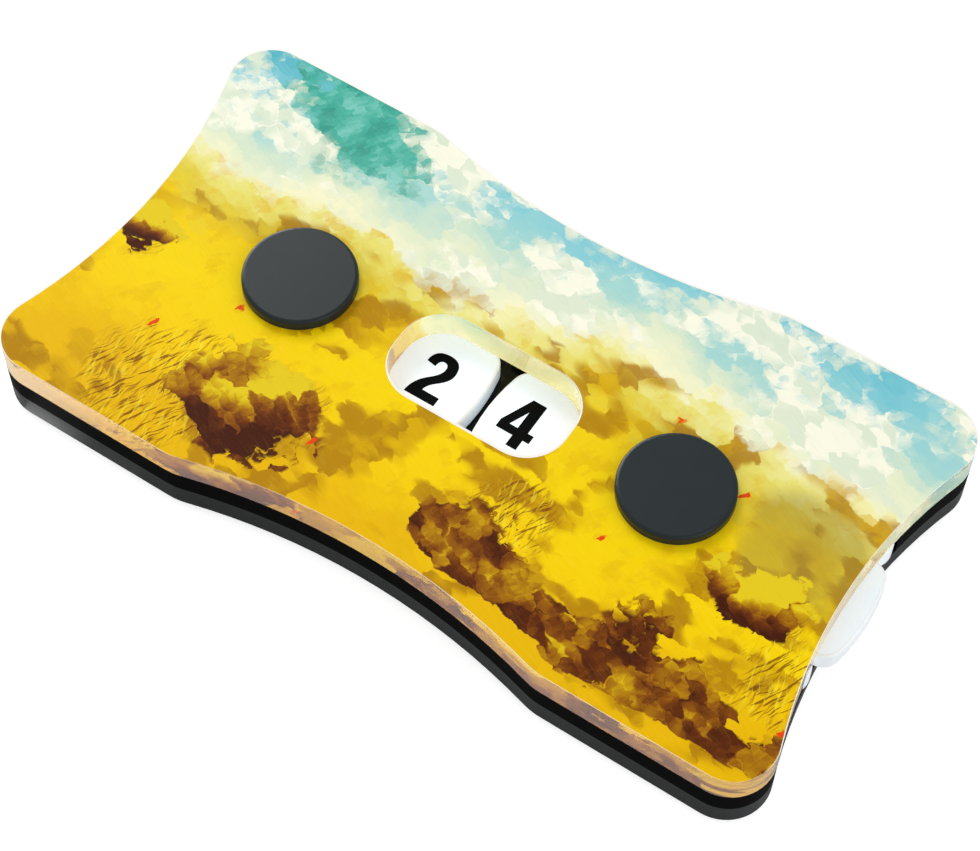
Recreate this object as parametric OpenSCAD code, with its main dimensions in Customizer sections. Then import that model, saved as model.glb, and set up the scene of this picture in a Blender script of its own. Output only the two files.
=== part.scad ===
// Life counter: two lobed number dials in a sandwich of laser-cut sheets.
// The origin is on the table, midway between the two axles, with +X along the long axis,
// +Y to the far side, where the tops of the numbers point, and +Z up.

/* [Dials] */
// Radius of a dial at the tips of its lobes
dial_r = 24.4; // [20:0.1:32]
// Gap between the two dials where their lobes face each other
dial_gap = 1.2; // [0.8:0.1:4]
// Number of lobes on a dial, one for each number
lobe_count = 10; // [8:1:12]
// Depth of the notch between two lobes
notch_depth = 2.4; // [1:0.1:4]
// Radius of a lobe's two corners
lobe_corner_r = 2.4; // [1:0.1:3]
// Chamfer on the rim of a dial, above and below
dial_chamfer = 0.3; // [0.1:0.05:0.6]
// Play above and below a dial, between it and the sheets
dial_play = 0.1; // [0.05:0.05:0.3]
// How far the lobes stand out past the hollow end of the sheets
thumb_proud = 2.8; // [1:0.1:6]

/* [Sheets] */
// Thickness of the clear cover
cover_t = 4; // [2:0.5:6]
// Thickness of the printed picture on the cover
print_t = 0.1; // [0.05:0.05:0.4]
// Bare edge of the cover all round the picture
print_margin = 0.1; // [0.1:0.1:2]
// Thickness of the two black rails beside the dials
rail_t = 3; // [2:0.5:6]
// Thickness of the black base
base_t = 3; // [2:0.5:6]
// Width of a rail beside a dial's axle
rail_w = 1.95; // [1.8:0.05:8]
// Clearance round a dial, between its lobes and the rails
pocket_gap = 0.4; // [0.2:0.1:1.5]
// Distance from the long axis to the blunt tip of a rail's middle horn
horn_reach = 8.5; // [6:0.5:12]

/* [Outline] */
// Radius of the four outer corners
corner_r = 5.2; // [4:0.1:8]
// How far the corners reach past the hollow of an end
corner_reach = 3.4; // [1:0.1:3.9]
// Length of the hollow in each long side
waist_l = 47.4; // [30:0.2:52]
// Depth of the hollow in each long side
waist_dip = 3.35; // [1:0.05:4]
// Radius that softens the two bends where this hollow meets the straight side
waist_blend_r = 8; // [2:1:20]

/* [Window] */
// Length of the window over the two facing lobes
window_l = 22.6; // [18:0.2:26]
// Width of the window
window_w = 12; // [10:0.2:14]
// Radius of the window's corners
window_corner_r = 5; // [2:0.1:5]

/* [Binding posts] */
// Outside diameter of a post's barrel, which is a dial's axle
barrel_d = 5; // [4:0.1:8]
// Radial clearance of the barrel in a dial's bore
bore_clearance = 0.08; // [0.04:0.01:0.1]
// Radial clearance of the barrel in the cover and the base
hole_clearance = 0.1; // [0.05:0.05:0.4]
// Diameter of the flat heads on both faces
head_d = 13.4; // [10:0.1:18]
// Thickness of the heads
head_t = 1.4; // [1:0.1:3]
// Rounding of the heads' outer edge
head_edge_r = 0.45; // [0.2:0.05:0.8]
// Diameter of the screw's shank
screw_d = 3; // [2:0.1:3.5]
// Radial clearance of the screw in the barrel's bore
screw_clearance = 0.05; // [0.02:0.01:0.1]
// Length of the screw's shank in the barrel
screw_l = 7; // [4:0.5:8]
// Gap between the barrel's end and the screw's head
barrel_end_gap = 0.4; // [0.2:0.1:1]
// Width of the screwdriver slot
slot_w = 1.2; // [0.8:0.1:2]
// Depth of the screwdriver slot
slot_depth = 0.7; // [0.4:0.1:0.9]

/* [Hidden] */
$fn = 96;

// A cutter starts and ends this far outside what it cuts
cut = 1;

// Axles
post_x = dial_r + dial_gap / 2;
pocket_r = dial_r + pocket_gap;

// Outline of the sheets: the two ends and the two long sides are hollow arcs
half_w = pocket_r + rail_w;
end_x = post_x + dial_r - thumb_proud;
corner_x = end_x + corner_reach - corner_r;
corner_y = half_w - corner_r;
end_run = end_x - corner_x;
end_arc_r = (end_run * end_run + corner_y * corner_y - corner_r * corner_r) / (2 * (corner_r - end_run));
end_arc_x = end_x + end_arc_r;
waist_arc_r = (waist_l * waist_l / 4 + waist_dip * waist_dip) / (2 * waist_dip);
waist_arc_y = half_w - waist_dip + waist_arc_r;
waist_blend_x = sqrt(waist_dip * (2 * (waist_arc_r + waist_blend_r) - waist_dip));

// Heights of the stack, from the table up
base_z = head_t;
rail_z = base_z + base_t;
cover_z = rail_z + rail_t;
print_z = cover_z + cover_t;
head_z = print_z + print_t;

// A lobe: its sides stand this far from its middle line, and its corners touch the tip circle
lobe_angle = 360 / lobe_count;
lobe_half_w = (dial_r - notch_depth) * sin(lobe_angle / 2);
lobe_corner_y = lobe_half_w - lobe_corner_r;
lobe_corner_x = sqrt(pow(dial_r - lobe_corner_r, 2) - lobe_corner_y * lobe_corner_y);
lobe_tip_angle = atan2(lobe_corner_y, lobe_corner_x);
dial_t = rail_t - 2 * dial_play;

screw_r = screw_d / 2;
barrel_bore_r = screw_r + screw_clearance;

// A quarter of an outline, repeated in the other three quarters
function four_quarters(quarter) = let (last = len(quarter) - 1) concat(
    quarter,
    [for (i = [last : -1 : 0]) [-quarter[i].x, quarter[i].y]],
    [for (i = [0 : last]) -quarter[i]],
    [for (i = [last : -1 : 0]) [quarter[i].x, -quarter[i].y]]
);

// What is cut off at a bend between hollow and straight side to round it, on the +X and +Y side
module waist_bend_scrap(blend_r) {
    middle = [waist_blend_x, half_w - waist_blend_r];
    to_waist = ([0, waist_arc_y] - middle) / norm([0, waist_arc_y] - middle);
    reach = blend_r + cut;
    difference() {
        polygon([middle, middle + [0, reach], middle + reach * to_waist]);
        translate(middle) circle(r = blend_r, $fn = 360);
    }
}

// The flat outline of cover and base, drawn smaller by inset all round
module sheet_outline(inset = 0) {
    fillet_r = corner_r - inset;
    // Where a corner's round meets the hollow end
    touch = [corner_x, corner_y]
        + fillet_r / (end_arc_r + corner_r) * [end_arc_x - corner_x, -corner_y];
    difference() {
        union() {
            polygon(four_quarters([touch, [corner_x, corner_y], [corner_x, half_w - inset]]));
            for (x = [-corner_x, corner_x], y = [-corner_y, corner_y])
                translate([x, y]) circle(r = fillet_r);
        }
        for (x = [-end_arc_x, end_arc_x])
            translate([x, 0]) circle(r = end_arc_r + inset, $fn = 360);
        for (y = [-waist_arc_y, waist_arc_y])
            translate([0, y]) circle(r = waist_arc_r + inset, $fn = 360);
        for (flip_x = [0, 1], flip_y = [0, 1])
            mirror([flip_x, 0]) mirror([0, flip_y]) waist_bend_scrap(waist_blend_r - inset);
    }
}

// A rounded rectangle made of true arcs, centred on the origin
module rounded_slot(length, width, radius) {
    union() {
        square([length - 2 * radius, width], center = true);
        square([length, width - 2 * radius], center = true);
        for (x = [-1, 1], y = [-1, 1])
            translate([x * (length / 2 - radius), y * (width / 2 - radius)]) circle(r = radius);
    }
}

// The two holes that the binding posts pass through
module post_holes() {
    for (x = [-post_x, post_x])
        translate([x, 0]) circle(d = barrel_d + 2 * hole_clearance);
}

module base_plate() {
    color("#1b1b1c")
    translate([0, 0, base_z])
    linear_extrude(base_t)
    difference() {
        sheet_outline();
        post_holes();
    }
}

// One black rail, the far one: the outline less both dial pockets, with a blunt horn in the middle
module rail() {
    translate([0, 0, rail_z])
    linear_extrude(rail_t)
    intersection() {
        difference() {
            sheet_outline();
            for (x = [-post_x, post_x])
                translate([x, 0]) circle(r = pocket_r, $fn = 180);
        }
        translate([-end_arc_x, horn_reach]) square([2 * end_arc_x, half_w]);
    }
}

module far_rail() {
    color("#141415") rail();
}

module near_rail() {
    color("#141415") mirror([0, 1, 0]) rail();
}

// One lobe, pointing along +X from the dial's centre
module lobe() {
    reach = dial_r / cos(lobe_tip_angle) + cut;
    union() {
        intersection() {
            circle(r = dial_r, $fn = 180);
            polygon([
                [0, 0],
                [reach * cos(lobe_tip_angle), -reach * sin(lobe_tip_angle)],
                [reach * cos(lobe_tip_angle), reach * sin(lobe_tip_angle)]
            ]);
        }
        translate([0, -lobe_half_w]) square([lobe_corner_x, 2 * lobe_half_w]);
        for (y = [-lobe_corner_y, lobe_corner_y])
            translate([lobe_corner_x, y]) circle(r = lobe_corner_r);
    }
}

// A dial: equal lobes round a bore, the rim chamfered above and below
module dial() {
    bore_r = barrel_d / 2 + bore_clearance;
    translate([0, 0, rail_z + dial_play])
    intersection() {
        linear_extrude(dial_t)
        difference() {
            for (i = [0 : lobe_count - 1])
                rotate(i * lobe_angle) lobe();
            circle(r = bore_r);
        }
        rotate_extrude($fn = 180)
        polygon([
            [0, 0],
            [dial_r - dial_chamfer, 0],
            [dial_r, dial_chamfer],
            [dial_r, dial_t - dial_chamfer],
            [dial_r - dial_chamfer, dial_t],
            [0, dial_t]
        ]);
    }
}

module tens_dial() {
    color("white") translate([-post_x, 0, 0]) dial();
}

module units_dial() {
    color("white") translate([post_x, 0, 0]) rotate(180) dial();
}

module clear_cover() {
    color("#dfe9ea")
    translate([0, 0, cover_z])
    linear_extrude(cover_t)
    difference() {
        sheet_outline();
        post_holes();
        rounded_slot(window_l, window_w, window_corner_r);
    }
}

// The picture is a film of ink over the whole top of the cover, short of its edges
module picture_print() {
    color("gold")
    translate([0, 0, print_z])
    linear_extrude(print_t)
    difference() {
        sheet_outline(print_margin);
        post_holes();
        rounded_slot(window_l + 2 * print_margin, window_w + 2 * print_margin, window_corner_r + print_margin);
    }
}

// Profile of a flat head whose outer edge is rounded, from its seat at 0 up to its face
module head_profile() {
    head_r = head_d / 2;
    union() {
        square([head_r - head_edge_r, head_t]);
        square([head_r, head_t - head_edge_r]);
        translate([head_r - head_edge_r, head_t - head_edge_r]) circle(r = head_edge_r);
    }
}

// The post: a barrel that hangs from its head through cover, dial and base, bored for the screw
module post() {
    barrel_z = base_z + barrel_end_gap;
    difference() {
        union() {
            translate([0, 0, head_z]) rotate_extrude() head_profile();
            translate([0, 0, barrel_z]) cylinder(h = head_z - barrel_z, d = barrel_d);
        }
        translate([0, 0, barrel_z - cut])
            cylinder(h = screw_l - barrel_end_gap + 2 * cut, r = barrel_bore_r);
    }
}

module tens_post() {
    color("#3a3f42") translate([-post_x, 0, 0]) post();
}

module units_post() {
    color("#3a3f42") translate([post_x, 0, 0]) post();
}

// The screw closes a post from below: its slotted head seats on the base and is a foot
module screw() {
    difference() {
        union() {
            translate([0, 0, head_t]) mirror([0, 0, 1]) rotate_extrude() head_profile();
            cylinder(h = head_t + screw_l, r = screw_r);
        }
        translate([-head_d / 2 - cut, -slot_w / 2, -cut]) cube([head_d + 2 * cut, slot_w, slot_depth + cut]);
    }
}

module tens_screw() {
    color("#303436") translate([-post_x, 0, 0]) screw();
}

module units_screw() {
    color("#303436") translate([post_x, 0, 0]) screw();
}

base_plate();
near_rail();
far_rail();
tens_dial();
units_dial();
clear_cover();
picture_print();
tens_post();
units_post();
tens_screw();
units_screw();
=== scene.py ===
import math

import bmesh
import bpy
from mathutils import Matrix, Vector


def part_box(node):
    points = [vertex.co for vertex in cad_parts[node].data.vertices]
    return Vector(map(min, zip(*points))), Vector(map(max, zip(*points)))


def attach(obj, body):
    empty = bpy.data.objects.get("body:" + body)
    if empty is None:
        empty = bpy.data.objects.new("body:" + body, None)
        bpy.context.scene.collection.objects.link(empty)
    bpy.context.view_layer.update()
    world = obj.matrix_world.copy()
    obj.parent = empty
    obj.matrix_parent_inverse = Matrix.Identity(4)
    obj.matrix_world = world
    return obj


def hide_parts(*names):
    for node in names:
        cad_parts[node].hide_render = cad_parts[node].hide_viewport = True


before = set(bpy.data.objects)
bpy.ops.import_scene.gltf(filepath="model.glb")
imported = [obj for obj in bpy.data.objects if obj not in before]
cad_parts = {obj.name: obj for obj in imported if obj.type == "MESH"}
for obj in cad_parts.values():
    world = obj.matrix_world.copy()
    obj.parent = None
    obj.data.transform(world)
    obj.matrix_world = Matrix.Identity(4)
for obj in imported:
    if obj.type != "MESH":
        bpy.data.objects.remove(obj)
bpy.context.view_layer.update()

# The view: the photograph looks down at the counter from the front right, with a long lens.
# A broad soft light hangs behind the counter on the left, with a weaker one on the right.
MM = 0.001
look_at = Vector((3.6, -4.2, 11.5)) * MM
camera_distance = 283.7 * MM
camera_azimuth = 32.74
camera_elevation = 58.81
camera_roll = 0.62
camera_lens = 94.54
camera_sensor = 36
camera_nearest = 0.01
camera_farthest = 10


def towards(azimuth, elevation):
    """The way from the counter to a thing at these angles, in degrees; azimuth 0 is in front."""
    around = math.radians(azimuth)
    up = math.radians(elevation)
    return Vector((math.sin(around) * math.cos(up), -math.cos(around) * math.cos(up), math.sin(up)))


def add_object(name, data):
    """Puts a mesh, camera or lamp in the scene."""
    made = bpy.data.objects.new(name, data)
    bpy.context.scene.collection.objects.link(made)
    return made


camera_data = bpy.data.cameras.new("photo_camera")
camera_data.lens = camera_lens
camera_data.sensor_width = camera_sensor
camera_data.clip_start = camera_nearest
camera_data.clip_end = camera_farthest
camera = add_object("photo_camera", camera_data)
to_camera = towards(camera_azimuth, camera_elevation)
aim = (-to_camera).to_track_quat("-Z", "Y").to_matrix().to_4x4()
roll = Matrix.Rotation(math.radians(camera_roll), 4, "Z")
camera.matrix_world = Matrix.Translation(look_at + to_camera * camera_distance) @ aim @ roll
bpy.context.scene.camera = camera
bpy.context.scene.view_settings.view_transform = "Standard"


def hang(thing, azimuth, elevation, distance, front):
    """Hangs a thing at this place, and turns its front, one of its own axes, to the counter."""
    away = towards(azimuth, elevation)
    thing.location = away * distance
    thing.rotation_euler = (-away).to_track_quat(front, "Y").to_euler()


def add_soft_light(name, azimuth, elevation, distance, size, watts):
    """A square soft light that faces the counter."""
    data = bpy.data.lights.new(name, "AREA")
    data.size = size
    data.energy = watts
    hang(add_object(name, data), azimuth, elevation, distance, front="-Z")


add_soft_light("key_light", azimuth=-125, elevation=42, distance=0.9, size=0.4, watts=3.0)
add_soft_light("right_fill", azimuth=75, elevation=24, distance=1.0, size=0.5, watts=1.6)

# A wide white card hangs low behind the left end. It lights nothing and only shows as a glint,
# which gives the post heads their sheen.
WHITE = (1, 1, 1, 1)
card_half_w = 0.36
card_half_h = 0.26
card_level = 8.0


def level_sheet(name, left, right, near, far, height=0.0):
    """A level rectangle, as a mesh with one face."""
    mesh = bpy.data.meshes.new(name)
    corners = [(left, near, height), (right, near, height), (right, far, height), (left, far, height)]
    mesh.from_pydata(corners, [], [(0, 1, 2, 3)])
    return mesh


def show_only_as_glint(piece):
    """Keeps a piece of the studio out of sight, except where something glossy mirrors it."""
    piece.visible_camera = False
    piece.visible_diffuse = False
    piece.visible_transmission = False
    piece.visible_shadow = False


class Value:
    """One socket of a node tree. An expression on values adds the Math nodes that work it out."""

    def __init__(self, tree, socket):
        self.tree = tree
        self.socket = socket

    def node(self, kind, inputs=None, output=0, stops=(), **settings):
        """Adds a node of this type and gives one of its outputs.

        Its settings and a ramp's stops are set first, then the values or links of its inputs.
        """
        made = self.tree.nodes.new(kind)
        for name, setting in settings.items():
            setattr(made, name, setting)
        if stops:
            elements = made.color_ramp.elements
            while len(elements) < len(stops):
                elements.new(1.0)
            for element, (position, colour) in zip(elements, stops):
                element.position = position
                element.color = colour
        for name, given in (inputs or {}).items():
            if isinstance(given, Value):
                self.tree.links.new(given.socket, made.inputs[name])
            else:
                made.inputs[name].default_value = given
        return Value(self.tree, made.outputs[output])

    def math(self, operation, *others):
        """One Math node on this value and the others."""
        return self.node("ShaderNodeMath", dict(enumerate((self, *others))), operation=operation)

    def vector(self, operation, other, output=0):
        """One Vector Math node on this vector and the other."""
        return self.node("ShaderNodeVectorMath", {0: self, 1: other}, output, operation=operation)

    def axis(self, name):
        """The X, Y or Z part of a vector."""
        return self.node("ShaderNodeSeparateXYZ", {0: self}, name)

    def mixed(self, other, share):
        """This colour, giving way to the other by a share from 0 to 1."""
        share_input, first_input, second_input, colour_output = 0, 6, 7, 2
        inputs = {share_input: share, first_input: self, second_input: other}
        return self.node("ShaderNodeMix", inputs, colour_output, data_type="RGBA")

    def held(self):
        """This value, kept from 0 to 1."""
        return self.node("ShaderNodeClamp", {"Value": self})

    def between(self, low, high):
        """0 where this is below low, 1 where it is above high, and smooth between them."""
        ends = {"Value": self, "From Min": low, "From Max": high}
        return self.node("ShaderNodeMapRange", ends, interpolation_type="SMOOTHSTEP")

    def __add__(self, other):
        return self.math("ADD", other)

    def __radd__(self, other):
        return self.math("ADD", other)

    def __sub__(self, other):
        return self.math("SUBTRACT", other)

    def __rsub__(self, other):
        return self.node("ShaderNodeMath", {0: other, 1: self}, operation="SUBTRACT")

    def __mul__(self, other):
        return self.math("MULTIPLY", other)

    def __rmul__(self, other):
        return self.math("MULTIPLY", other)

    def __truediv__(self, other):
        return self.math("DIVIDE", other)

    def __rtruediv__(self, other):
        return self.node("ShaderNodeMath", {0: other, 1: self}, operation="DIVIDE")


def feed(node, **given):
    """Sets or links a node's sockets; an underscore in a name stands for a space."""
    for name, value in given.items():
        socket = node.inputs[name.replace("_", " ")]
        if isinstance(value, Value):
            value.tree.links.new(value.socket, socket)
        else:
            socket.default_value = value


card_mesh = level_sheet("glint_card", -card_half_w, card_half_w, -card_half_h, card_half_h)
card_paper = bpy.data.materials.new("card_paper")
card_paper.use_nodes = True
feed(card_paper.node_tree.nodes["Principled BSDF"], Emission_Color=WHITE, Emission_Strength=card_level)
card_mesh.materials.append(card_paper)
card = add_object("glint_card", card_mesh)
hang(card, azimuth=-115, elevation=12, distance=0.9, front="Z")
show_only_as_glint(card)

# The room gives even light from all round, and the camera sees a pure white backdrop.
room_level = 0.7
backdrop_level = 1.0
world = bpy.data.worlds.new("studio")
world.use_nodes = True
bpy.context.scene.world = world
room_shader = world.node_tree.nodes["Background"]
feed(room_shader, Color=WHITE, Strength=room_level)
room = Value(world.node_tree, room_shader.outputs[0])
backdrop = room.node("ShaderNodeBackground", {"Color": WHITE, "Strength": backdrop_level})
by_camera = room.node("ShaderNodeLightPath", output="Is Camera Ray")
seen_room = room.node("ShaderNodeMixShader", {0: by_camera, 1: room, 2: backdrop})
feed(world.node_tree.nodes["World Output"], Surface=seen_room)

# The table is white paper. Seen by the camera or through the clear cover it also glows a little,
# so that it comes out white and still shows the counter's shadow.
table_half = 2.0
table_colour = (0.82, 0.82, 0.82, 1)
table_glow = 0.65
table_mesh = level_sheet("table", -table_half, table_half, -table_half, table_half)
table_paper = bpy.data.materials.new("table_paper")
table_paper.use_nodes = True
paper_tree = table_paper.node_tree
paper_tree.nodes.remove(paper_tree.nodes["Principled BSDF"])
rays = paper_tree.nodes.new("ShaderNodeLightPath")
by_camera = Value(paper_tree, rays.outputs["Is Camera Ray"])
through_cover = Value(paper_tree, rays.outputs["Is Transmission Ray"])
glow_level = by_camera.math("MAXIMUM", through_cover) * table_glow
paper_glow = glow_level.node("ShaderNodeEmission", {"Strength": glow_level})
paper = paper_glow.node("ShaderNodeBsdfDiffuse", {"Color": table_colour})
glowing_paper = paper.node("ShaderNodeAddShader", {0: paper, 1: paper_glow})
feed(paper_tree.nodes["Material Output"], Surface=glowing_paper)
table_mesh.materials.append(table_paper)
table = add_object("table", table_mesh)

# The base: one black acrylic sheet, laser-cut, that carries everything and is held on by the screws.
# Its cut edge is satin, with faint upright lines from the laser; its faces keep their gloss.


def shade(red, green, blue):
    """A colour as it is seen, from 0 to 255, turned into the light that shaders work with."""
    seen_parts = [part / 255 for part in (red, green, blue)]
    light = [p / 12.92 if p <= 0.04045 else ((p + 0.055) / 1.055) ** 2.4 for p in seen_parts]
    return (*light, 1.0)


def new_material(name):
    """A material with one Principled shader: the material, the shader and the place in millimetres."""
    material = bpy.data.materials.new(name)
    material.use_nodes = True
    tree = material.node_tree
    shader = tree.nodes["Principled BSDF"]
    coordinates = tree.nodes.new("ShaderNodeTexCoord")
    place = Value(tree, coordinates.outputs["Object"]).vector("MULTIPLY", (1 / MM,) * 3)
    return material, shader, place


def noise(place, scale, detail=2.0, roughness=0.5, output=0):
    """Blender's noise at a place in millimetres; scale counts the blotches in a millimetre."""
    parts = {"Vector": place, "Scale": scale, "Detail": detail, "Roughness": roughness}
    return place.node("ShaderNodeTexNoise", parts, output)


def bump(height, distance):
    """A normal that follows a height, whose whole range stands this many metres proud."""
    return height.node("ShaderNodeBump", {"Height": height, "Distance": distance})


def black_sheet_face():
    """Cast black acrylic as it leaves the factory: deep gloss, with faint handling marks."""
    material, shader, place = new_material("black_acrylic_face")
    smears = noise(place, 0.15, 4.0)
    feed(
        shader,
        Base_Color=shade(12, 12, 12),
        Roughness=0.08 + 0.12 * smears,
        IOR=1.49,
        Specular_IOR_Level=0.15,
    )
    return material


def black_sheet_edge(name, colour, specular, roughness):
    """The laser-cut edge of black acrylic: satin, with faint upright lines."""
    material, shader, place = new_material(name)
    upright = place.vector("MULTIPLY", (6.0, 6.0, 0.25))
    lines = noise(upright, 1.0, 3.0)
    feed(
        shader,
        Base_Color=colour,
        Roughness=roughness - 0.05 + 0.1 * lines,
        IOR=1.49,
        Specular_IOR_Level=specular,
        Normal=bump(lines, 0.004 * MM),
    )
    return material


def sheet_outline(node, height):
    """A mesh with only the lines where a level cut at this height meets a CAD node."""
    same_corner = 0.0001 * MM
    same_cut = 0.001 * MM
    outline = bmesh.new()
    outline.from_mesh(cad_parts[node].data)
    bmesh.ops.remove_doubles(outline, verts=outline.verts, dist=same_corner)
    bmesh.ops.bisect_plane(
        outline,
        geom=outline.verts[:] + outline.edges[:] + outline.faces[:],
        plane_co=(0, 0, height),
        plane_no=(0, 0, 1),
        clear_inner=True,
        clear_outer=True,
    )
    bmesh.ops.remove_doubles(outline, verts=outline.verts, dist=same_cut)
    return outline


def settle_normals(mesh):
    """Keeps the flat faces and the upright walls of a sheet true beside the soft edges between them."""
    level = 0.99
    upright = 0.01
    same_side = 0.5
    one_curve = math.cos(math.radians(12))
    around = {vertex.index: [] for vertex in mesh.vertices}
    for face in mesh.polygons:
        for corner in face.vertices:
            around[corner].append(face)
    normals = []
    for face in mesh.polygons:
        for corner in face.vertices:
            flats = [f.normal for f in around[corner] if abs(f.normal.z) > level]
            walls = [f.normal for f in around[corner] if abs(f.normal.z) < upright]
            if abs(face.normal.z) > level:
                parts = [face.normal]
            elif flats:
                parts = flats[:1]
            elif walls:
                parts = [normal for normal in walls if normal.dot(face.normal) > same_side]
                nearest = max(parts or walls, key=face.normal.dot)
                parts = [normal for normal in parts if normal.dot(nearest) > one_curve]
            else:
                parts = [f.normal for f in around[corner]]
            normals.append(sum(parts, Vector()).normalized())
    mesh.normals_split_custom_set(normals)


# The places of the cut edge and of the rim in a sheet's list of materials.
EDGE_SLOT = 1
RIM_SLOT = 2


def flat_blank(node, rim, shift):
    """A level face cut to the outline of a CAD node, with a narrow rim where it has one."""
    low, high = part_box(node)
    blank = sheet_outline(node, (low.z + high.z) / 2)
    bmesh.ops.triangle_fill(blank, use_beauty=True, edges=blank.edges[:])
    for face in blank.faces:
        face.smooth = True
        if face.normal.z < 0:
            face.normal_flip()
    if rim > 0:
        inner = blank.faces[:]
        ring = bmesh.ops.inset_region(
            blank, faces=inner, thickness=rim, use_boundary=True, use_even_offset=True
        )["faces"]
        for face in ring:
            face.material_index = RIM_SLOT
        bmesh.ops.translate(blank, verts=list({v for face in inner for v in face.verts}), vec=shift)
    return blank


def cut_sheet(name, node, bottom, top, softness, steps, materials, rim=0.0, shift=(0, 0, 0)):
    """A sheet cut to the outline of its CAD node, with softened edges.

    The materials are those of its faces, its cut edge and, where it has one, the rim of its faces.
    A shift makes the rim wider on one side than on the other.
    """
    sharp_angle = math.radians(60)
    sheet = flat_blank(node, rim, shift)
    for vertex in sheet.verts:
        vertex.co.z = bottom
    upper = bmesh.ops.extrude_face_region(sheet, geom=sheet.faces[:], use_keep_orig=True)
    for part in upper["geom"]:
        if isinstance(part, bmesh.types.BMVert):
            part.co.z = top
    bmesh.ops.recalc_face_normals(sheet, faces=sheet.faces[:])
    for face in sheet.faces:
        is_wall = abs(face.normal.z) < 0.5
        if is_wall:
            face.material_index = EDGE_SLOT
    sharp = [edge for edge in sheet.edges if edge.calc_face_angle(0) > sharp_angle]
    level_edges = [edge for edge in sharp if abs(edge.verts[0].co.z - edge.verts[1].co.z) < softness]
    bmesh.ops.bevel(
        sheet,
        geom=level_edges,
        offset=softness,
        segments=steps,
        profile=0.5,
        affect="EDGES",
        material=EDGE_SLOT,
        clamp_overlap=True,
    )
    mesh = bpy.data.meshes.new(name)
    sheet.to_mesh(mesh)
    sheet.free()
    for material in materials:
        mesh.materials.append(material)
    settle_normals(mesh)
    return add_object(name, mesh)


low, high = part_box("base_plate")
black_face = black_sheet_face()
base_edge = black_sheet_edge("base_edge", shade(20, 25, 26), specular=0.2, roughness=0.42)
base = cut_sheet(
    "base", "base_plate", low.z, high.z, softness=0.1 * MM, steps=2, materials=(black_face, base_edge)
)
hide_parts("base_plate")
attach(base, "counter")

# The table in front of the base's left corner lies in full light, which fades on a slant into the
# counter's own shadow. This strip of the table only shows as a soft glint along the foot of the base.
# The shadow starts and is full at these places along the near side, in millimetres.
strip_left = -46.5 * MM
strip_right = -30.0 * MM
strip_reach = 1.5 * MM
strip_height = 0.05 * MM
strip_level = 2.3
shadow_slant = 1.5
shadow_starts = -45.0
shadow_is_full = -37.5
shadow_level = 0.22
strip_mesh = level_sheet("lit_strip", strip_left, strip_right, low.y - strip_reach, low.y, strip_height)
lit_paper, lit_shader, lit_place = new_material("lit_paper")
along = lit_place.axis("X") + shadow_slant * (lit_place.axis("Y") - low.y / MM)
feed(
    lit_shader,
    Base_Color=shade(0, 0, 0),
    Emission_Color=1.0 - (1.0 - shadow_level) * along.between(shadow_starts, shadow_is_full),
    Emission_Strength=strip_level,
)
strip_mesh.materials.append(lit_paper)
show_only_as_glint(add_object("lit_strip", strip_mesh))

# The screws: black nylon, moulded, one under each post, screwed up into its barrel.
# Their flat slotted heads hold the base and are the counter's feet.


def black_nylon():
    """Moulded black nylon: satin, a little grey, with a very fine grain."""
    material, shader, place = new_material("black_nylon")
    grain = noise(place, 9.0, 3.0)
    smears = noise(place, 0.5, 3.0)
    feed(
        shader,
        Base_Color=shade(30, 39, 41),
        Roughness=0.3 + 0.08 * smears,
        IOR=1.53,
        Specular_IOR_Level=0.2,
        Normal=bump(grain, 0.002 * MM),
    )
    return material


nylon = black_nylon()
for screw in ("tens_screw", "units_screw"):
    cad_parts[screw].data.materials[0] = nylon

# The rails: two black acrylic strips, the far and the near one, that hold the cover off the base.
# They lie along the long sides, and each leaves round pockets for both dials.
rail_edge = black_sheet_edge("rail_edge", shade(10, 11, 10), specular=0.005, roughness=0.45)
rail_finish = (black_face, rail_edge)
for rail_name in ("near_rail", "far_rail"):
    low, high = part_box(rail_name)
    rail = cut_sheet(
        rail_name + "_sheet", rail_name, low.z, high.z, softness=0.08 * MM, steps=2, materials=rail_finish
    )
    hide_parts(rail_name)
    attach(rail, "counter")

# The dials: white acrylic, laser-cut into ten lobes, one for each number. Each turns about its post.
# A tree bends a grid to one lobe's wedge, with a softened rim, and repeats it round the bore.
dial_inputs = {
    "Lobes": "NodeSocketInt",
    "Place": "NodeSocketVector",
    "Tip radius": "NodeSocketFloat",
    "Notch depth": "NodeSocketFloat",
    "Corner radius": "NodeSocketFloat",
    "Bore radius": "NodeSocketFloat",
    "Thickness": "NodeSocketFloat",
    "Rim softness": "NodeSocketFloat",
    "Face material": "NodeSocketMaterial",
    "Edge material": "NodeSocketMaterial",
}
QUARTER = math.pi / 2
TIP_STEPS = 3
CORNER_STEPS = 8
HALF_STEPS = TIP_STEPS + CORNER_STEPS + 1
RIM_STEPS = 4
SECTION_STEPS = 2 * RIM_STEPS + 4


def wedge_section(section, size):
    """For each step of the wedge's section: its inset from the rim, its height, and 1 at the bore.

    Step 0 is the foot of the bore; then come the underside, the rim, the top and the bore again.
    """
    soft = size["Rim softness"]
    low_turn = ((section - 1) / RIM_STEPS).held() * QUARTER
    high_turn = ((section - 2 - RIM_STEPS) / RIM_STEPS).held() * QUARTER
    inset = soft * (2.0 - low_turn.math("SINE") - high_turn.math("COSINE"))
    up_the_rim = (section - 1 - RIM_STEPS).held()
    height = soft * (1.0 - low_turn.math("COSINE") + high_turn.math("SINE"))
    height = height + (size["Thickness"] - 2.0 * soft) * up_the_rim
    height = height * (1.0 - (section - (SECTION_STEPS - 1)).held())
    at_bore = (1.0 - section).held() + (section - (SECTION_STEPS - 2)).held()
    return inset, height, at_bore


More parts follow.
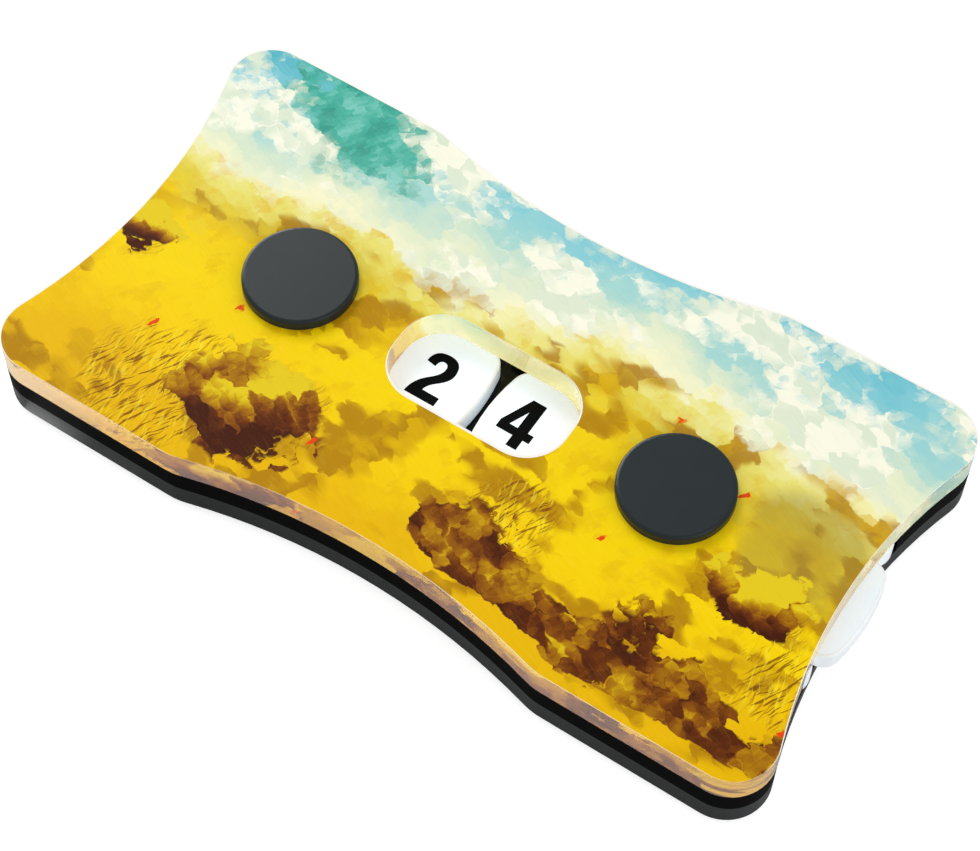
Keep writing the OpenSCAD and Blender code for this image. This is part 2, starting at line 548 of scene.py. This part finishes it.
def wedge_outline(step, inset, half_angle, size):
    """For each step from a lobe's middle to its notch: the point on its outline, less the inset.

    The tip is an arc about the dial's middle, the corner an arc that touches it, the side a short line.
    """
    half_w = (size["Tip radius"] - size["Notch depth"]) * half_angle.math("SINE")
    corner_y = half_w - size["Corner radius"]
    reach = size["Tip radius"] - size["Corner radius"]
    corner_x = (reach * reach - corner_y * corner_y).math("SQRT")
    tip_angle = corner_y.math("ARCTAN2", corner_x)
    along_tip = (step / TIP_STEPS).held() * tip_angle
    bend = along_tip + ((step - TIP_STEPS) / CORNER_STEPS).held() * (QUARTER - tip_angle)
    bend_r = size["Corner radius"] - inset
    side_length = (half_w - inset) / half_angle.math("TANGENT") - corner_x
    down_the_side = (step - (HALF_STEPS - 1)).held() * side_length
    x = reach * along_tip.math("COSINE") + bend_r * bend.math("COSINE") + down_the_side
    y = reach * along_tip.math("SINE") + bend_r * bend.math("SINE")
    return x, y


def lobed_dial_tree():
    """The tree of a dial. Its grid is numbered in whole steps about the middle of a lobe."""
    tree = bpy.data.node_groups.new("lobed_dial", "GeometryNodeTree")
    for name, kind in dial_inputs.items():
        tree.interface.new_socket(name, in_out="INPUT", socket_type=kind)
    tree.interface.new_socket("Dial", in_out="OUTPUT", socket_type="NodeSocketGeometry")
    given = tree.nodes.new("NodeGroupInput")
    size = {name: Value(tree, given.outputs[name]) for name in dial_inputs}
    half_angle = math.pi / size["Lobes"]
    same_point = 0.001 * MM
    level_enough = 0.99

    counts = {"Size X": 2 * HALF_STEPS, "Size Y": SECTION_STEPS}
    counts.update({"Vertices X": 2 * HALF_STEPS + 1, "Vertices Y": SECTION_STEPS + 1})
    grid = half_angle.node("GeometryNodeMeshGrid", counts)
    spot = grid.node("GeometryNodeInputPosition")
    step = spot.axis("X").math("ABSOLUTE")
    inset, height, at_bore = wedge_section(spot.axis("Y") + SECTION_STEPS / 2, size)
    x, y = wedge_outline(step, inset, half_angle, size)
    bore_angle = step * half_angle / HALF_STEPS
    x = x + at_bore * (size["Bore radius"] * bore_angle.math("COSINE") - x)
    y = y + at_bore * (size["Bore radius"] * bore_angle.math("SINE") - y)
    y = y * spot.axis("X").math("SIGN")
    bent = grid.node("ShaderNodeCombineXYZ", {"X": x, "Y": y, "Z": height})
    wedge = grid.node("GeometryNodeSetPosition", {"Geometry": grid, "Position": bent})
    wedge = grid.node("GeometryNodeSetMaterial", {"Geometry": wedge, "Material": size["Edge material"]})

    axle = grid.node("GeometryNodePoints", {"Count": size["Lobes"], "Position": size["Place"]})
    turn = grid.node("GeometryNodeInputIndex") * 2.0 * half_angle
    turn = grid.node("ShaderNodeCombineXYZ", {"Z": turn})
    turn = grid.node("FunctionNodeEulerToRotation", {"Euler": turn})
    wedges = {"Points": axle, "Instance": wedge, "Rotation": turn}
    ring = grid.node("GeometryNodeInstanceOnPoints", wedges)
    dial = grid.node("GeometryNodeRealizeInstances", {"Geometry": ring})
    dial = grid.node("GeometryNodeMergeByDistance", {"Geometry": dial, "Distance": same_point})
    upwards = grid.node("GeometryNodeInputNormal").axis("Z").math("ABSOLUTE")
    level = upwards.math("GREATER_THAN", level_enough)
    faces = {"Geometry": dial, "Selection": level, "Material": size["Face material"]}
    dial = grid.node("GeometryNodeSetMaterial", faces)
    made = tree.nodes.new("NodeGroupOutput")
    tree.links.new(dial.socket, made.inputs["Dial"])
    return tree


def made_by_tree(name, tree, sizes):
    """The plain mesh, in an object, that a tree makes with these sizes."""
    holder = add_object(name, bpy.data.meshes.new(name))
    modifier = holder.modifiers.new(name, "NODES")
    modifier.node_group = tree
    for item in tree.interface.items_tree:
        if item.in_out == "INPUT":
            modifier[item.identifier] = sizes[item.name]
    bpy.context.view_layer.update()
    evaluated = holder.evaluated_get(bpy.context.evaluated_depsgraph_get())
    mesh = bpy.data.meshes.new_from_object(evaluated)
    holder.modifiers.clear()
    holder.data = mesh
    mesh.name = name
    unused_slot = mesh.materials[0] is None
    if unused_slot:
        mesh.materials.pop(index=0)
    for face in mesh.polygons:
        face.use_smooth = True
    settle_normals(mesh)
    return holder


# The numbers: thin black ink, printed on the lobes from 0 to 9 round each dial.
# They are turned so that the one in the window stands upright.
DIGIT_W = 40
DIGIT_H = 66
DIGIT_UNIT = 0.1 * MM


def oval(x, y, half_w, half_h):
    """A squarish ring of outline points about a middle."""
    right, left, top, bottom = x + half_w, x - half_w, y + half_h, y - half_h
    return [
        (right, y), (right, top, "bend"), (x, top), (left, top, "bend"),
        (left, y), (left, bottom, "bend"), (x, bottom), (right, bottom, "bend"),
    ]


hook = [
    (38.5, 48.5), (37.5, 67, "bend"), (20.5, 67), (0, 67, "bend"), (0, 33), (0, -1, "bend"), (20.5, -1),
    (40, -1, "bend"), (40, 21.5), (40, 43.5, "bend"), (23.5, 43.5), (16.5, 43.5, "bend"), (13, 38.5),
    (13.5, 56, "bend"), (20.5, 56), (25.5, 56, "bend"), (26, 47.5),
]
hook_eye = oval(20, 21.5, 6.8, 11.5)


def half_turned(outline):
    """An outline turned by 180 degrees in its place, which makes a nine of a six."""
    return [(DIGIT_W - point[0], DIGIT_H - point[1], *point[2:]) for point in outline]


# Each number is drawn in these units, 40 wide and 66 tall, with its foot on 0.
# A point marked bend pulls the curve between its neighbours.
number_outlines = [
    [oval(20, 33, 20, 34), oval(20, 33, 7.5, 23)],
    [[(14, 0), (27, 0), (27, 66), (17, 66), (15, 55, "bend"), (4, 55), (4, 44), (14, 44)]],
    [[
        (0, 48), (0, 67, "bend"), (20, 67), (38.5, 67, "bend"), (38.5, 47),
        (38.5, 38, "bend"), (28, 28.5), (18, 20, "bend"), (17, 12), (40, 12), (40, 0), (0, 0),
        (0.5, 17, "bend"), (13, 29), (25, 40, "bend"), (25, 48), (25, 56, "bend"), (18.5, 56),
        (12.5, 56, "bend"), (12, 46),
    ]],
    [[
        (1, 47.5), (1.5, 67, "bend"), (20, 67), (38, 67, "bend"), (38, 49.5),
        (38, 39, "bend"), (31.5, 35.5), (40, 31, "bend"), (40, 19.5), (40, -1, "bend"), (20, -1),
        (0, -1, "bend"), (0, 20), (12.5, 21.5), (13, 10.5, "bend"), (19.5, 10.5),
        (26.5, 10.5, "bend"), (26.5, 20), (26.5, 30, "bend"), (17.5, 30), (14, 30), (14, 40),
        (17, 40), (25.5, 40, "bend"), (25.5, 48.5), (25.5, 56, "bend"), (19.5, 56),
        (14, 56, "bend"), (13.5, 46.5),
    ]],
    [
        [
            (-2, 14.5), (-2, 25.5), (16, 66), (34, 66), (34, 25.5), (42, 25.5), (42, 14.5), (34, 14.5),
            (34, 0), (20.5, 0), (20.5, 14.5),
        ],
        [(9.5, 25.5), (20.5, 25.5), (20.5, 50)],
    ],
    [[
        (5, 66), (37, 66), (37, 54.5), (16, 54.5), (15.3, 43.5), (19, 46, "bend"), (23.5, 46),
        (40, 46, "bend"), (40, 22.5), (40, -1, "bend"), (19.5, -1), (1, -1, "bend"), (0, 18), (13, 19),
        (13.5, 10.5, "bend"), (19.5, 10.5), (26.5, 10.5, "bend"), (26.5, 22.5), (26.5, 35, "bend"),
        (20, 35), (15.5, 35, "bend"), (13.5, 31), (2.5, 31),
    ]],
    [hook, hook_eye],
    [[
        (1, 66), (39, 66), (39, 55), (24, 33, "bend"), (22.5, 0),
        (9, 0), (10, 30, "bend"), (25, 54), (1, 54),
    ]],
    [
        [
            (7, 35), (2, 40, "bend"), (2, 49), (2, 67, "bend"), (20, 67), (38, 67, "bend"), (38, 49),
            (38, 40, "bend"), (33, 35), (40, 30, "bend"), (40, 19), (40, -1, "bend"), (20, -1),
            (0, -1, "bend"), (0, 19), (0, 30, "bend"),
        ],
        oval(20, 49, 6.2, 8),
        oval(20, 19.5, 7, 10),
    ],
    [half_turned(hook), half_turned(hook_eye)],
]


def run_of_points(outline, steps=8):
    """The points along an outline, with each bend turned into a short smooth curve."""
    points = []
    for index, point in enumerate(outline):
        if len(point) == 2:
            points.append(Vector(point))
            continue
        before = Vector(outline[index - 1][:2])
        after = Vector(outline[(index + 1) % len(outline)][:2])
        pull = Vector(point[:2])
        for step in range(1, steps):
            t = step / steps
            points.append((1 - t) ** 2 * before + 2 * t * (1 - t) * pull + t * t * after)
    return points


def add_number(inked, number, middle, turn, level, ink_t):
    """Adds a number to a mesh: its middle goes to a point, turned, as a film of ink on a level."""
    digit_middle = Vector((DIGIT_W / 2, DIGIT_H / 2))
    foot_edges = []
    top_edges = []
    for outline in number_outlines[number]:
        foot = []
        top = []
        for point in run_of_points(outline):
            placed = Matrix.Rotation(turn, 2) @ ((point - digit_middle) * DIGIT_UNIT) + middle
            foot.append(inked.verts.new((*placed, level)))
            top.append(inked.verts.new((*placed, level + ink_t)))
        for i in range(len(foot)):
            foot_edges.append(inked.edges.new((foot[i - 1], foot[i])))
            top_edges.append(inked.edges.new((top[i - 1], top[i])))
            inked.faces.new((foot[i - 1], foot[i], top[i], top[i - 1]))
    bmesh.ops.triangle_fill(inked, use_beauty=True, edges=foot_edges)
    bmesh.ops.triangle_fill(inked, use_beauty=True, edges=top_edges)


def ramp(value, *stops):
    """A colour that goes through these stops, each a place and a colour."""
    return value.node("ShaderNodeValToRGB", {0: value}, stops=stops)


def white_acrylic(name, colour, painted_glow, glow_level, roughness):
    """White cast acrylic: glossy faces, and a slightly duller edge where the laser melted it. It also
    glows a little in a cool white, which is painted light.
    """
    material, shader, place = new_material(name)
    cloud = noise(place, 0.25, 3.0)
    feed(
        shader,
        Base_Color=ramp(cloud, (0.35, colour), (0.7, shade(250, 252, 252))),
        Roughness=roughness + 0.08 * cloud,
        IOR=1.49,
        Emission_Color=painted_glow,
        Emission_Strength=glow_level,
    )
    return material


def number_ink():
    """Flat black ink, a little less shiny than the acrylic under it."""
    material, shader, place = new_material("number_ink")
    grain = noise(place, 5.0, 3.0)
    feed(
        shader,
        Base_Color=shade(8, 9, 9),
        Roughness=0.38 + 0.15 * grain,
        Specular_IOR_Level=0.03,
        Normal=bump(grain, 0.002 * MM),
    )
    return material


# Both dial materials glow a little: painted light that stands in for the light the translucent acrylic
# carries in and the clear cover would let through.
dial_face = white_acrylic(
    "dial_face", shade(244, 247, 248), painted_glow=shade(186, 224, 255), glow_level=0.34, roughness=0.22
)
dial_edge = white_acrylic(
    "dial_edge", shade(240, 244, 245), painted_glow=shade(216, 234, 250), glow_level=0.18, roughness=0.3
)
ink_black = number_ink()
ink_t = 0.02 * MM
LOBES = 10
dial_sizes = {
    "Lobes": LOBES,
    "Notch depth": 2.4 * MM,
    "Corner radius": 2.4 * MM,
    "Bore radius": 2.58 * MM,
    "Rim softness": 0.3 * MM,
    "Face material": dial_face,
    "Edge material": dial_edge,
}
dial_tree = lobed_dial_tree()

# Each dial shows one number in the window, which it faces at this angle. Its numbers stand this far
# from the axle, and its whole print lies a little out of register.
dials = {
    "tens": {
        "shown": 2,
        "faces": 0.0,
        "number_radius": 18.5 * MM,
        "print_shift": Vector((0.0, -0.2)) * MM,
    },
    "units": {
        "shown": 4,
        "faces": math.pi,
        "number_radius": 19.3 * MM,
        "print_shift": Vector((-0.75, 0.12)) * MM,
    },
}
for dial_name, dial in dials.items():
    node = dial_name + "_dial"
    body = dial_name + "_wheel"
    low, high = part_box(node)
    axle = (low + high) / 2
    own_sizes = {
        "Tip radius": (high.x - low.x) / 2,
        "Thickness": high.z - low.z,
        "Place": (axle.x, axle.y, low.z),
    }
    wheel = made_by_tree(dial_name + "_lobed_dial", dial_tree, dial_sizes | own_sizes)
    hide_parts(node)
    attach(wheel, body)
    inked = bmesh.new()
    for step in range(LOBES):
        number = (dial["shown"] + step) % LOBES
        out_angle = dial["faces"] + step * math.tau / LOBES
        out = Vector((math.cos(out_angle), math.sin(out_angle)))
        middle = axle.xy + dial["print_shift"] + dial["number_radius"] * out
        add_number(inked, number, middle, out_angle - dial["faces"], high.z, ink_t)
    bmesh.ops.recalc_face_normals(inked, faces=inked.faces[:])
    ink_mesh = bpy.data.meshes.new(dial_name + "_numbers")
    inked.to_mesh(ink_mesh)
    inked.free()
    ink_mesh.materials.append(ink_black)
    numbers = add_object(dial_name + "_numbers", ink_mesh)
    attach(numbers, body)

# The cover: clear cast acrylic, 4 mm thick, with the window cut through its middle.
# Its polished cut edge shows the picture's pale back, mirrored inside the sheet.


def clear_acrylic(name, colour, roughness):
    """Clear cast acrylic, with faint upright ripples where the laser went round."""
    material, shader, place = new_material(name)
    ripples = noise(place.vector("MULTIPLY", (1.5, 1.5, 0.1)), 1.0, 2.0)
    feed(
        shader,
        Base_Color=colour,
        Roughness=roughness * ripples,
        IOR=1.49,
        Transmission_Weight=1.0,
    )
    return material


# A film of air under the cover makes a mirror of its foot, and its top reaches just into the print.
air_gap = 0.015 * MM
into_print = 0.005 * MM
low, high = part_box("clear_cover")
clear_face = clear_acrylic("clear_face", shade(252, 254, 253), roughness=0.0)
# The cut edge's warm tint is painted light: it stands in for the picture's yellow light mirrored inside
# the sheet.
clear_edge = clear_acrylic("clear_edge", shade(255, 246, 200), roughness=0.008)
cover = cut_sheet(
    "cover",
    "clear_cover",
    low.z + air_gap,
    high.z + into_print,
    softness=0.05 * MM,
    steps=1,
    materials=(clear_face, clear_edge),
)
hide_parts("clear_cover")
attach(cover, "counter")

# The picture: ink printed over the whole top of the cover under a thin varnish, short of its edges.
# It is a generic painting, in loose dabs, of a shore seen from above: surf, wet sand, dunes and stones.


def turned(place, angle):
    """A place turned about the middle of the cover."""
    turning = {"Vector": place, "Angle": angle}
    return place.node("ShaderNodeVectorRotate", turning, rotation_type="Z_AXIS")


def dabs(place, length, breadth, turn, wobble, hardness):
    """Strokes of a brush: each takes the colours of its own middle, the more so the harder it is."""
    stray = noise(place, 0.8 / breadth, 2.0, output="Color").vector("SUBTRACT", (0.5, 0.5, 0.5))
    loose = place.vector("ADD", stray.vector("MULTIPLY", (wobble, wobble, 0.0)))
    squeezed = turned(loose, turn).vector("MULTIPLY", (1 / length, 1 / breadth, 0.0))
    middle = squeezed.node(
        "ShaderNodeTexVoronoi",
        {"Vector": squeezed, "Scale": 1.0, "Smoothness": 0.34},
        "Position",
        voronoi_dimensions="2D",
        feature="SMOOTH_F1",
    )
    middle = turned(middle.vector("MULTIPLY", (length, breadth, 0.0)), -turn)
    kept = (hardness, hardness, 0.0)
    rest = (1 - hardness, 1 - hardness, 0.0)
    return middle.vector("MULTIPLY", kept).vector("ADD", place.vector("MULTIPLY", rest))


def cluster(place, x, y, radius):
    """1 at a point of the picture, falling to 0 at a radius from it."""
    away = place.vector("DISTANCE", (x, y, 0.0), output="Value")
    return 1.0 - away.between(0.0, radius)


def lit(place, scale, reach, contrast):
    """0 to 1: how far a noisy relief faces the painter's light, which comes from the far left."""
    nearer_light = place.vector("ADD", (-0.6 * reach, 0.8 * reach, 0.0))
    fall = noise(place, scale, 3.0, 0.6) - noise(nearer_light, scale, 3.0, 0.6)
    return fall.between(-contrast, contrast)


def painted_sea(broad, fine, out_to_sea):
    """Shallow and deep water under broken surf."""
    depth = out_to_sea / 22 + 0.6 * (noise(broad, 0.09, 3.0) - 0.5)
    water = ramp(
        depth,
        (0.0, shade(250, 248, 206)), (0.16, shade(228, 238, 206)), (0.36, shade(172, 219, 212)),
        (0.62, shade(140, 208, 216)), (0.85, shade(112, 196, 210)), (1.0, shade(84, 182, 194)),
    )
    pool = cluster(broad, -31, 25, 21) + 0.9 * (noise(fine, 0.2, 3.0) - 0.5)
    weed = ramp(
        noise(fine, 0.35, 3.0, 0.6),
        (0.35, shade(40, 150, 128)), (0.5, shade(64, 176, 152)), (0.65, shade(124, 204, 186)),
    )
    water = water.mixed(weed, pool.between(0.4, 0.64) * 0.9)
    rolling = broad.vector("MULTIPLY", (0.7, 1.2, 1.0))
    surf = noise(rolling, 0.085, 4.0, 0.62) + 0.2 * (noise(fine, 0.5, 2.0) - 0.5)
    surf = surf - 0.1 * cluster(broad, -34, 20, 20)
    foam = ramp(lit(broad, 0.16, 2.0, 0.08), (0.1, shade(226, 236, 212)), (0.7, shade(255, 253, 232)))
    return water.mixed(foam, surf.between(0.44, 0.54) * 0.95)


def painted_sand(place, broad, fine, inland):
    """Pale wet sand, then dunes in sun and in shade."""
    tone = inland / 30 + 0.4 * (noise(place, 0.05, 2.0) - 0.5)
    sand = ramp(
        tone,
        (0.0, shade(246, 242, 176)), (0.1, shade(236, 226, 116)), (0.2, shade(228, 206, 62)),
        (0.32, shade(246, 210, 14)), (0.5, shade(250, 216, 0)), (0.78, shade(250, 210, 0)),
        (1.0, shade(236, 186, 0)),
    )
    dunes = place.vector("ADD", broad).vector("MULTIPLY", (0.28, 0.5, 0.0))
    sun = lit(dunes, 0.085, 3.0, 0.1) + cluster(place, -37, -8, 17) + 0.6 * cluster(place, 24, -8, 10)
    sand = sand.mixed(shade(204, 156, 0), (1.0 - sun.between(0.05, 0.55)) * 0.75)
    deep = noise(broad, 0.12, 4.0, 0.62)
    sand = sand.mixed(shade(160, 104, 6), (deep - 0.4 * sun).between(0.36, 0.48) * 0.6)
    folds = noise(fine, 0.2, 4.0, 0.62)
    sand = sand.mixed(shade(228, 182, 4), folds.between(0.5, 0.64) * 0.5)
    dull = cluster(place, 40, 1, 14) + 1.0 * (noise(broad, 0.15, 3.0, 0.6) - 0.5)
    return sand.mixed(shade(158, 136, 56), dull.between(0.3, 0.7) * 0.55)


def stone_heaps(place):
    """Where stones lie in heaps: 1 in the middle of a heap, 0 away from it."""
    wide = place.vector("MULTIPLY", (0.75, 1.0, 0.0))
    return cluster(wide, -15, -16, 13) + cluster(wide, 29, -6, 8) + cluster(wide, -33, -3, 7)


def stone_row(place):
    """1 in a bank of stones behind the near side, from the middle to the right end; its back is wavy."""
    waist_half = 23.7
    waist_depth = 3.35
    half_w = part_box("clear_cover")[1].y / MM
    along = place.axis("X") / waist_half
    hollow = waist_depth * (1.0 - along * along).held()
    inwards = place.axis("Y") + half_w - hollow
    depth = 11.0 + 3.0 * (0.262 * place.axis("X") - 0.525).math("SINE")
    behind = (inwards / depth).between(0.0, 1.6)
    return inwards.between(0.0, 4.5) * (1.0 - behind) * place.axis("X").between(-2.0, 7.0)


def painted_stones(place, broad, fine):
    """The tones of stones, from mossy tops in the light to dark feet."""
    farther = place.vector("ADD", (-1.0, 3.0, 0.0))
    top_side = 0.45 + 1.4 * (stone_heaps(place) - stone_heaps(farther))
    facets = 0.5 * (noise(broad, 0.28, 3.0, 0.6) - 0.5) + 0.45 * (noise(fine, 0.6, 3.0, 0.6) - 0.5)
    blocks = lit(broad, 0.13, 2.6, 0.12) - 0.5
    return ramp(
        top_side + 1.7 * facets + 0.5 * blocks,
        (0.1, shade(70, 26, 8)), (0.32, shade(100, 46, 10)), (0.5, shade(136, 76, 12)),
        (0.66, shade(172, 118, 10)), (0.82, shade(208, 166, 12)), (0.97, shade(232, 204, 30)),
    )


def blades(place, lean):
    """1 on thin blades of dune grass that lean this way, 0 between them."""
    wave = noise(place, 0.3, 1.0, output="Color").vector("MULTIPLY", (1.4, 1.4, 0.0))
    drawn = turned(place.vector("ADD", wave), lean).vector("MULTIPLY", (0.3, 3.0, 0.0))
    return noise(drawn, 1.0, 2.0).between(0.55, 0.62)


def painting(seen_place):
    """The picture's colour at a place on the cover, in millimetres."""
    stroke_turn = math.radians(24)
    place = seen_place.vector("MULTIPLY", (1.0, 1.0, 0.0))
    broad = dabs(place, length=3.4, breadth=1.3, turn=stroke_turn, wobble=2.0, hardness=0.7)
    fine = dabs(place, length=1.2, breadth=0.5, turn=math.radians(-58), wobble=0.7, hardness=0.8)
    bay = (0.07 * place.axis("X") + 0.6).math("SINE") * 2.0
    out_to_sea = broad.axis("Y") - 9.0 + bay
    out_to_sea = out_to_sea + 5.0 * cluster(place, -40, 20, 20) - 6.5 * cluster(place, 14, 10, 22)
    out_to_sea = out_to_sea + 12.0 * (noise(broad, 0.06, 3.0, 0.6) - 0.5)
    out_to_sea = out_to_sea + 4.0 * (noise(fine, 0.3, 2.0) - 0.5)
    colour = painted_sea(broad, fine, out_to_sea)
    sand = painted_sand(place, broad, fine, out_to_sea * -1.0)
    colour = colour.mixed(sand, 1.0 - out_to_sea.between(-1.2, 1.2))

    heaps = stone_heaps(place)
    rough = 0.75 * noise(broad, 0.13, 3.0, 0.6) + 0.25 * noise(fine, 0.3, 2.0)
    stones = (0.5 * heaps + 0.55 * stone_row(place) + rough).between(0.73, 0.76)
    meadow = cluster(place, -31, -21, 14) + cluster(place, 12, -12, 8) + cluster(place, 46, -14, 8)
    grown = (meadow + heaps * 0.5 + noise(broad, 0.2, 2.0) - 0.5).between(0.25, 0.6)
    colour = colour.mixed(shade(122, 62, 8), grown * blades(place, math.radians(-62)) * 0.85)
    colour = colour.mixed(shade(150, 92, 8), grown * blades(place, math.radians(-84)) * 0.55)
    colour = colour.mixed(shade(255, 238, 60), grown * blades(place, math.radians(-104)) * 0.4)
    colour = colour.mixed(painted_stones(place, broad, fine), stones)
    petals = noise(fine, 0.4, 1.0).between(0.765, 0.78)
    colour = colour.mixed(shade(232, 74, 16), petals * (-3.0 - out_to_sea).held())

    bristles = noise(turned(place, stroke_turn).vector("MULTIPLY", (0.4, 4.0, 0.0)), 1.0, 2.0)
    colour = colour.mixed(shade(255, 246, 120), bristles.between(0.52, 0.75) * (0.05 - 0.03 * stones))
    return colour.mixed(shade(150, 104, 24), (1.0 - bristles.between(0.25, 0.48)) * 0.05)


def printed_picture():
    """Coloured ink on white ink under varnish; from below only its pale, glowing back is seen.

    The back is painted creamier behind the window, standing in for the yellow light that the window's
    wall mirrors, and paler in the left corner, a painted highlight.
    The film's lower part, in millimetres from its top, has the colours of the back.
    """
    back_ends = 0.06
    front_starts = 0.04
    # The back's glow is painted light, standing in for the light that comes down through the ink.
    painted_back_glow = 0.57
    material, shader, place = new_material("picture")
    colour = painting(place)
    flat_place = place.vector("MULTIPLY", (1.0, 1.0, 0.0))
    # Painted light on the back: a warm tint behind the window and a painted highlight in the left corner.
    painted_warmth_behind_window = cluster(flat_place, 2, 13, 16)
    painted_highlight_left_corner = cluster(flat_place, -48, -18, 18)
    pale = colour.mixed(shade(242, 222, 240), 0.17)
    pale = pale.mixed(shade(255, 246, 160), 0.5 * painted_warmth_behind_window)
    pale = pale.mixed(shade(250, 228, 214), 0.7 * painted_highlight_left_corner)
    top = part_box("picture_print")[1].z / MM
    seen_from_top = place.axis("Z").between(top - back_ends, top - front_starts)
    painted_glow = pale.mixed(shade(0, 0, 0), seen_from_top)
    feed(
        shader,
        Base_Color=pale.mixed(colour, seen_from_top),
        Roughness=0.4 + 0.1 * noise(place, 0.4, 3.0),
        Emission_Color=painted_glow,
        Emission_Strength=painted_back_glow,
        IOR=1.5,
        Specular_IOR_Level=0.05,
    )
    return material


def white_underprint():
    """The white ink under the colours, which shows as a narrow pale rim all round the picture, with a
    faint painted glow.
    """
    material, shader, place = new_material("white_underprint")
    feed(
        shader,
        Base_Color=shade(240, 236, 228),
        Roughness=0.3 + 0.1 * noise(place, 1.0, 2.0),
        Emission_Color=shade(240, 236, 228),
        Emission_Strength=0.1,
        Specular_IOR_Level=0.15,
    )
    return material


low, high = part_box("picture_print")
underprint = white_underprint()
print_ink = printed_picture()
picture_finish = (print_ink, print_ink, underprint)
off_register = Vector((0.1, -0.13, 0.0)) * MM
picture = cut_sheet(
    "picture",
    "clear_cover",
    low.z,
    high.z,
    softness=0.02 * MM,
    steps=1,
    materials=picture_finish,
    rim=0.17 * MM,
    shift=off_register,
)
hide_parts("picture_print")
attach(picture, "counter")

# The posts: black nylon, moulded. Each flat round head lies on the picture, and its barrel
# goes down through cover, dial and base to the screw.
for post in ("tens_post", "units_post"):
    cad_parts[post].data.materials[0] = nylon
